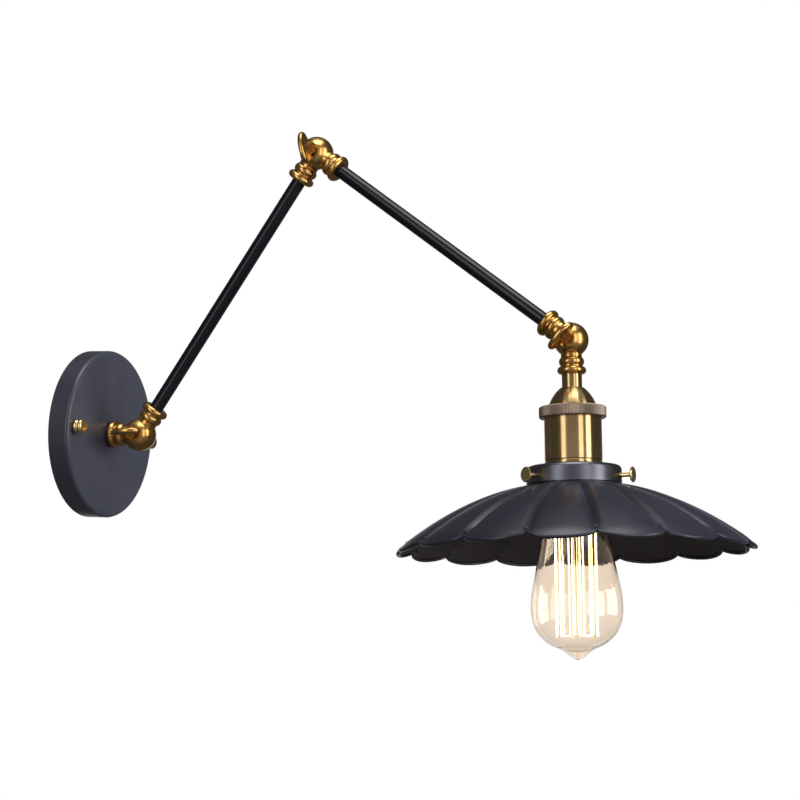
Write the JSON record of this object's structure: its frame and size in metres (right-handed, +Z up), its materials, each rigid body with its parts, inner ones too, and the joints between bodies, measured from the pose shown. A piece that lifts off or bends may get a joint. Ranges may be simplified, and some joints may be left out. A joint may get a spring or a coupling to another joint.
{
  "type": "folding wall lamp",
  "caption": "Folding wall lamp with tube arms on clamped brass ball knuckles, a scalloped umbrella shade and a clear pear-shaped filament bulb.",
  "frame": {"origin": "centre of the wall plate's back, on the wall and between the wall screws", "axes": "+X out of the wall, +Y away from the wing screws, +Z up; the arms fold in the XZ plane"},
  "size_m": [0.5174, 0.2478, 0.3755],
  "materials": {
    "charcoal_paint": "satin charcoal paint",
    "black_arm": "satin black paint",
    "aged_brass": "polished antique brass",
    "bright_brass": "bright brass",
    "dark_bronze": "dull dark bronze, knurled",
    "zinc_steel": "zinc plated",
    "black_insulator": "black moulded insulator",
    "white_block": "white moulded block",
    "black_flex": "black sheathed flex",
    "clear_glass": "clear glass, faint amber",
    "filament_wire": "filament wire",
    "tinned_contact": "tinned"
  },
  "bodies": {
    "wall": {"wall_plate": "charcoal_paint", "mounting_crossbar": "zinc_steel", "mounting_studs": "zinc_steel", "cap_nuts": "bright_brass", "wall_nipple": "zinc_steel", "wall_lock_washer": "zinc_steel", "wall_lock_nut": "zinc_steel", "terminal_block": "white_block", "terminal_screws": "zinc_steel", "terminal_block_screw": "zinc_steel", "earth_screw": "bright_brass", "mains_leads": "black_flex", "wall_knuckle": "aged_brass"},
    "lower_arm": {"lower_arm_knuckle": "aged_brass", "lower_arm_tube": "black_arm", "lower_arm_flex": "black_flex", "elbow_lower_knuckle": "aged_brass"},
    "upper_arm": {"elbow_upper_knuckle": "aged_brass", "upper_arm_tube": "black_arm", "upper_arm_flex": "black_flex", "head_upper_knuckle": "aged_brass"},
    "head": {"head_knuckle": "aged_brass", "head_nipple": "zinc_steel", "head_stem": "aged_brass", "socket_cap": "aged_brass", "socket_nut": "zinc_steel", "socket_ring": "dark_bronze", "socket_shell": "aged_brass", "socket_insert": "black_insulator", "screw_shell": "bright_brass", "centre_contact": "bright_brass", "head_flex": "black_flex", "socket_terminals": "bright_brass", "socket_leads": "black_flex", "shade_gallery": "charcoal_paint", "shade_ring_nut": "zinc_steel", "shade": "charcoal_paint"},
    "bulb": {"bulb_glass": "clear_glass", "bulb_cap": "bright_brass", "bulb_cap_insulator": "black_insulator", "bulb_contact": "tinned_contact", "filament_stem": "clear_glass", "filament_supports": "filament_wire", "filament": "filament_wire"},
    "wall_wing": {"wall_wing_screw": "aged_brass", "wall_wing_washer": "aged_brass"},
    "elbow_wing": {"elbow_wing_screw": "aged_brass", "elbow_wing_washer": "aged_brass"},
    "head_wing": {"head_wing_screw": "aged_brass", "head_wing_washer": "aged_brass"},
    "thumb_screw_1": {"gallery_screw_1": "bright_brass"},
    "thumb_screw_2": {"gallery_screw_2": "bright_brass"},
    "thumb_screw_3": {"gallery_screw_3": "bright_brass"}
  },
  "joints": [
    {"name": "wall_hinge", "type": "hinge", "parent": "wall", "child": "lower_arm", "pos_m": [0.0415, 0, 0], "axis": [0, -1, 0], "range_deg": [-147.5, 32.5]},
    {"name": "elbow_hinge", "type": "hinge", "parent": "lower_arm", "child": "upper_arm", "pos_m": [0.17583, 0, 0.21085], "axis": [0, -1, 0], "range_deg": [-15, 198]},
    {"name": "head_hinge", "type": "hinge", "parent": "upper_arm", "child": "head", "pos_m": [0.38284, 0, 0.07069], "axis": [0, -1, 0], "range_deg": [-55, 158]},
    {"name": "wall_wing_turn", "type": "hinge", "parent": "wall", "child": "wall_wing", "pos_m": [0.0415, 0, 0], "axis": [0, -1, 0], "range_deg": [0, 360]},
    {"name": "elbow_wing_turn", "type": "hinge", "parent": "lower_arm", "child": "elbow_wing", "pos_m": [0.17583, 0, 0.21085], "axis": [0, -1, 0], "range_deg": [0, 360]},
    {"name": "head_wing_turn", "type": "hinge", "parent": "upper_arm", "child": "head_wing", "pos_m": [0.38284, 0, 0.07069], "axis": [0, -1, 0], "range_deg": [0, 360]},
    {"name": "bulb_turn", "type": "hinge", "parent": "head", "child": "bulb", "pos_m": [0.38284, 0, 0.07069], "axis": [0.0732, 0, -0.9973], "continuous": true},
    {"name": "thumb_slide_1", "type": "slide", "parent": "head", "child": "thumb_screw_1", "axis": [0.9973, 0, 0.0732], "range_m": [0, 0.005]},
    {"name": "thumb_slide_2", "type": "slide", "parent": "head", "child": "thumb_screw_2", "axis": [-0.4987, 0.866, -0.0366], "range_m": [0, 0.005]},
    {"name": "thumb_slide_3", "type": "slide", "parent": "head", "child": "thumb_screw_3", "axis": [-0.4987, -0.866, -0.0366], "range_m": [0, 0.005]}
  ]
}
